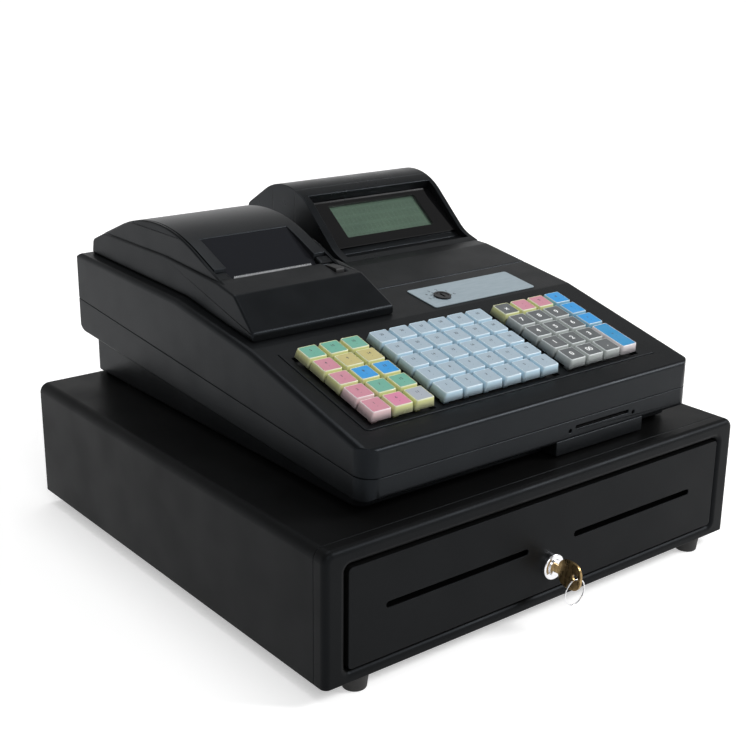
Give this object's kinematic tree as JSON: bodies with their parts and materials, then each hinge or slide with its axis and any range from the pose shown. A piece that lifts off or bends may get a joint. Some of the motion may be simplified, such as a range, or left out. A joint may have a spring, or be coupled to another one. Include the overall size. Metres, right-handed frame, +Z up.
{
  "type": "electronic cash register with drawer",
  "caption": "Black electronic ticket register with keyboard, receipt printer and sloping display, standing on a steel cash drawer with a key lock.",
  "frame": {"origin": "middle of the whole object's footprint, at the floor under the drawer cabinet's feet", "axes": "+Z up, the operator's side with the drawer front faces -Y, +X to the operator's right"},
  "size_m": [0.41, 0.4614, 0.2631],
  "materials": {
    "black_powder_coat": "fine textured black powder coat",
    "zinc_steel": "zinc plated steel",
    "black_case": "fine textured black plastic",
    "black_gloss": "glossy smoked lens",
    "display_glass": "grey-green liquid crystal",
    "tray_plastic": "moulded black plastic",
    "chrome": "polished chrome",
    "lock_black": "blackened metal",
    "key_bronze": "bronze coloured key",
    "rubber": "black rubber",
    "label_silver": "satin silver plate",
    "key_grey": "clear cap over a dark grey legend",
    "key_blue": "clear cap over a blue legend",
    "key_colours": "clear caps over green, yellow, pink, blue and lavender legends",
    "key_pale": "clear caps over pale blue-grey legends",
    "circuit_board": "green circuit board",
    "paper": "thermal paper",
    "grey_mat": "grey silicone mat",
    "grey_metal": "grey metal"
  },
  "bodies": {
    "cabinet": {"cabinet_cover": "black_powder_coat", "cabinet_front_frame": "black_powder_coat", "cabinet_base": "black_powder_coat", "cabinet_feet": "rubber", "cabinet_rails": "zinc_steel", "release_solenoid": "grey_metal", "lower_case": "black_case", "base_plate": "zinc_steel", "upper_case": "black_case", "card_reader": "black_case", "mode_plate": "label_silver", "mode_lock": "lock_black", "display_hood": "black_case", "display_lens": "black_gloss", "lcd_module": "display_glass", "rear_display_lens": "black_gloss", "register_feet": "rubber", "printer_housing": "black_case", "tear_bar": "zinc_steel", "printer_mechanism": "grey_metal", "main_board": "circuit_board", "power_supply": "grey_metal", "rear_sockets": "grey_metal", "key_frame": "tray_plastic", "key_mat": "grey_mat", "keyboard_board": "circuit_board"},
    "drawer": {"drawer_front": "black_powder_coat", "drawer_pan": "zinc_steel", "drawer_rails": "zinc_steel", "cash_tray": "tray_plastic", "clip_rod": "zinc_steel", "drawer_lock": "chrome"},
    "lock_key": {"lock_plug": "chrome", "lock_cam": "zinc_steel", "drawer_key": "key_bronze"},
    "ring": {"key_ring": "chrome"},
    "latch": {"drawer_latch": "zinc_steel"},
    "printer_lid": {"printer_cover": "black_case"},
    "lid_latch": {"cover_latch": "black_case"},
    "mode_plug": {"mode_lock_plug": "lock_black"},
    "platen": {"platen_roller": "rubber"},
    "roll": {"paper_roll": "paper"},
    "note_clip_1": {"bill_clip_1": "tray_plastic"},
    "note_clip_2": {"bill_clip_2": "tray_plastic"},
    "note_clip_3": {"bill_clip_3": "tray_plastic"},
    "note_clip_4": {"bill_clip_4": "tray_plastic"},
    "digit_key_0_body": {"digit_key_0": "key_grey"},
    "digit_key_1_body": {"digit_key_1": "key_grey"},
    "digit_key_2_body": {"digit_key_2": "key_grey"},
    "digit_key_3_body": {"digit_key_3": "key_grey"},
    "digit_key_4_body": {"digit_key_4": "key_grey"},
    "digit_key_5_body": {"digit_key_5": "key_grey"},
    "digit_key_6_body": {"digit_key_6": "key_grey"},
    "digit_key_7_body": {"digit_key_7": "key_grey"},
    "digit_key_8_body": {"digit_key_8": "key_grey"},
    "digit_key_9_body": {"digit_key_9": "key_grey"},
    "total_key_body": {"total_key": "key_blue"},
    "department_keys_body": {"department_keys": "key_colours"},
    "item_keys_body": {"item_keys": "key_pale"},
    "function_keys_body": {"function_keys": "key_colours"}
  },
  "joints": [
    {"name": "drawer_slide", "type": "slide", "parent": "cabinet", "child": "drawer", "axis": [0, -1, 0], "range_m": [0, 0.27]},
    {"name": "key_turn", "type": "hinge", "parent": "drawer", "child": "lock_key", "pos_m": [0, -0.20025, 0.041], "axis": [0, 1, 0], "range_deg": [0, 90]},
    {"name": "ring_swing", "type": "hinge", "parent": "lock_key", "child": "ring", "pos_m": [0, -0.22525, 0.0395], "axis": [1, 0, 0], "range_deg": [-40, 40]},
    {"name": "latch_turn", "type": "hinge", "parent": "cabinet", "child": "latch", "pos_m": [-0.013, 0.19075, 0.025], "axis": [0, 0, 1], "range_deg": [0, 10]},
    {"name": "lid_turn", "type": "hinge", "parent": "cabinet", "child": "printer_lid", "pos_m": [-0.085, 0.20125, 0.2282], "axis": [-1, 0, 0], "range_deg": [0, 85]},
    {"name": "lid_latch_press", "type": "hinge", "parent": "cabinet", "child": "lid_latch", "pos_m": [-0.038, 0.01645, 0.22188], "axis": [1, 0, 0], "range_deg": [0, 12], "stiffness_Nm_per_rad": 0.05},
    {"name": "mode_turn", "type": "hinge", "parent": "cabinet", "child": "mode_plug", "pos_m": [0.0468, -0.02027, 0.19669], "axis": [0, -0.1483, 0.9889], "range_deg": [-60, 120]},
    {"name": "platen_spin", "type": "hinge", "parent": "cabinet", "child": "platen", "pos_m": [-0.088, 0.04075, 0.2155], "axis": [1, 0, 0], "continuous": true},
    {"name": "paper_roll_spin", "type": "hinge", "parent": "cabinet", "child": "roll", "pos_m": [-0.088, 0.12475, 0.2165], "axis": [1, 0, 0], "continuous": true},
    {"name": "clip_lift_1", "type": "hinge", "parent": "drawer", "child": "note_clip_1", "pos_m": [-0.12675, 0.09275, 0.0535], "axis": [-1, 0, 0], "range_deg": [0, 40]},
    {"name": "clip_lift_2", "type": "hinge", "parent": "drawer", "child": "note_clip_2", "pos_m": [-0.04225, 0.09275, 0.0535], "axis": [-1, 0, 0], "range_deg": [0, 40]},
    {"name": "clip_lift_3", "type": "hinge", "parent": "drawer", "child": "note_clip_3", "pos_m": [0.04225, 0.09275, 0.0535], "axis": [-1, 0, 0], "range_deg": [0, 40]},
    {"name": "clip_lift_4", "type": "hinge", "parent": "drawer", "child": "note_clip_4", "pos_m": [0.12675, 0.09275, 0.0535], "axis": [-1, 0, 0], "range_deg": [0, 40]},
    {"name": "digit_key_0_press", "type": "slide", "parent": "cabinet", "child": "digit_key_0_body", "axis": [0, 0.2498, -0.9683], "range_m": [0, 0.003], "stiffness_N_per_m": 200},
    {"name": "digit_key_1_press", "type": "slide", "parent": "cabinet", "child": "digit_key_1_body", "axis": [0, 0.2498, -0.9683], "range_m": [0, 0.003], "stiffness_N_per_m": 200},
    {"name": "digit_key_2_press", "type": "slide", "parent": "cabinet", "child": "digit_key_2_body", "axis": [0, 0.2498, -0.9683], "range_m": [0, 0.003], "stiffness_N_per_m": 200},
    {"name": "digit_key_3_press", "type": "slide", "parent": "cabinet", "child": "digit_key_3_body", "axis": [0, 0.2498, -0.9683], "range_m": [0, 0.003], "stiffness_N_per_m": 200},
    {"name": "digit_key_4_press", "type": "slide", "parent": "cabinet", "child": "digit_key_4_body", "axis": [0, 0.2498, -0.9683], "range_m": [0, 0.003], "stiffness_N_per_m": 200},
    {"name": "digit_key_5_press", "type": "slide", "parent": "cabinet", "child": "digit_key_5_body", "axis": [0, 0.2498, -0.9683], "range_m": [0, 0.003], "stiffness_N_per_m": 200},
    {"name": "digit_key_6_press", "type": "slide", "parent": "cabinet", "child": "digit_key_6_body", "axis": [0, 0.2498, -0.9683], "range_m": [0, 0.003], "stiffness_N_per_m": 200},
    {"name": "digit_key_7_press", "type": "slide", "parent": "cabinet", "child": "digit_key_7_body", "axis": [0, 0.2498, -0.9683], "range_m": [0, 0.003], "stiffness_N_per_m": 200},
    {"name": "digit_key_8_press", "type": "slide", "parent": "cabinet", "child": "digit_key_8_body", "axis": [0, 0.2498, -0.9683], "range_m": [0, 0.003], "stiffness_N_per_m": 200},
    {"name": "digit_key_9_press", "type": "slide", "parent": "cabinet", "child": "digit_key_9_body", "axis": [0, 0.2498, -0.9683], "range_m": [0, 0.003], "stiffness_N_per_m": 200},
    {"name": "total_key_press", "type": "slide", "parent": "cabinet", "child": "total_key_body", "axis": [0, 0.2498, -0.9683], "range_m": [0, 0.003], "stiffness_N_per_m": 200},
    {"name": "department_keys_press", "type": "slide", "parent": "cabinet", "child": "department_keys_body", "axis": [0, 0.2498, -0.9683], "range_m": [0, 0.003], "stiffness_N_per_m": 1500},
    {"name": "item_keys_press", "type": "slide", "parent": "cabinet", "child": "item_keys_body", "axis": [0, 0.2498, -0.9683], "range_m": [0, 0.003], "stiffness_N_per_m": 1500},
    {"name": "function_keys_press", "type": "slide", "parent": "cabinet", "child": "function_keys_body", "axis": [0, 0.2498, -0.9683], "range_m": [0, 0.003], "stiffness_N_per_m": 1500}
  ]
}
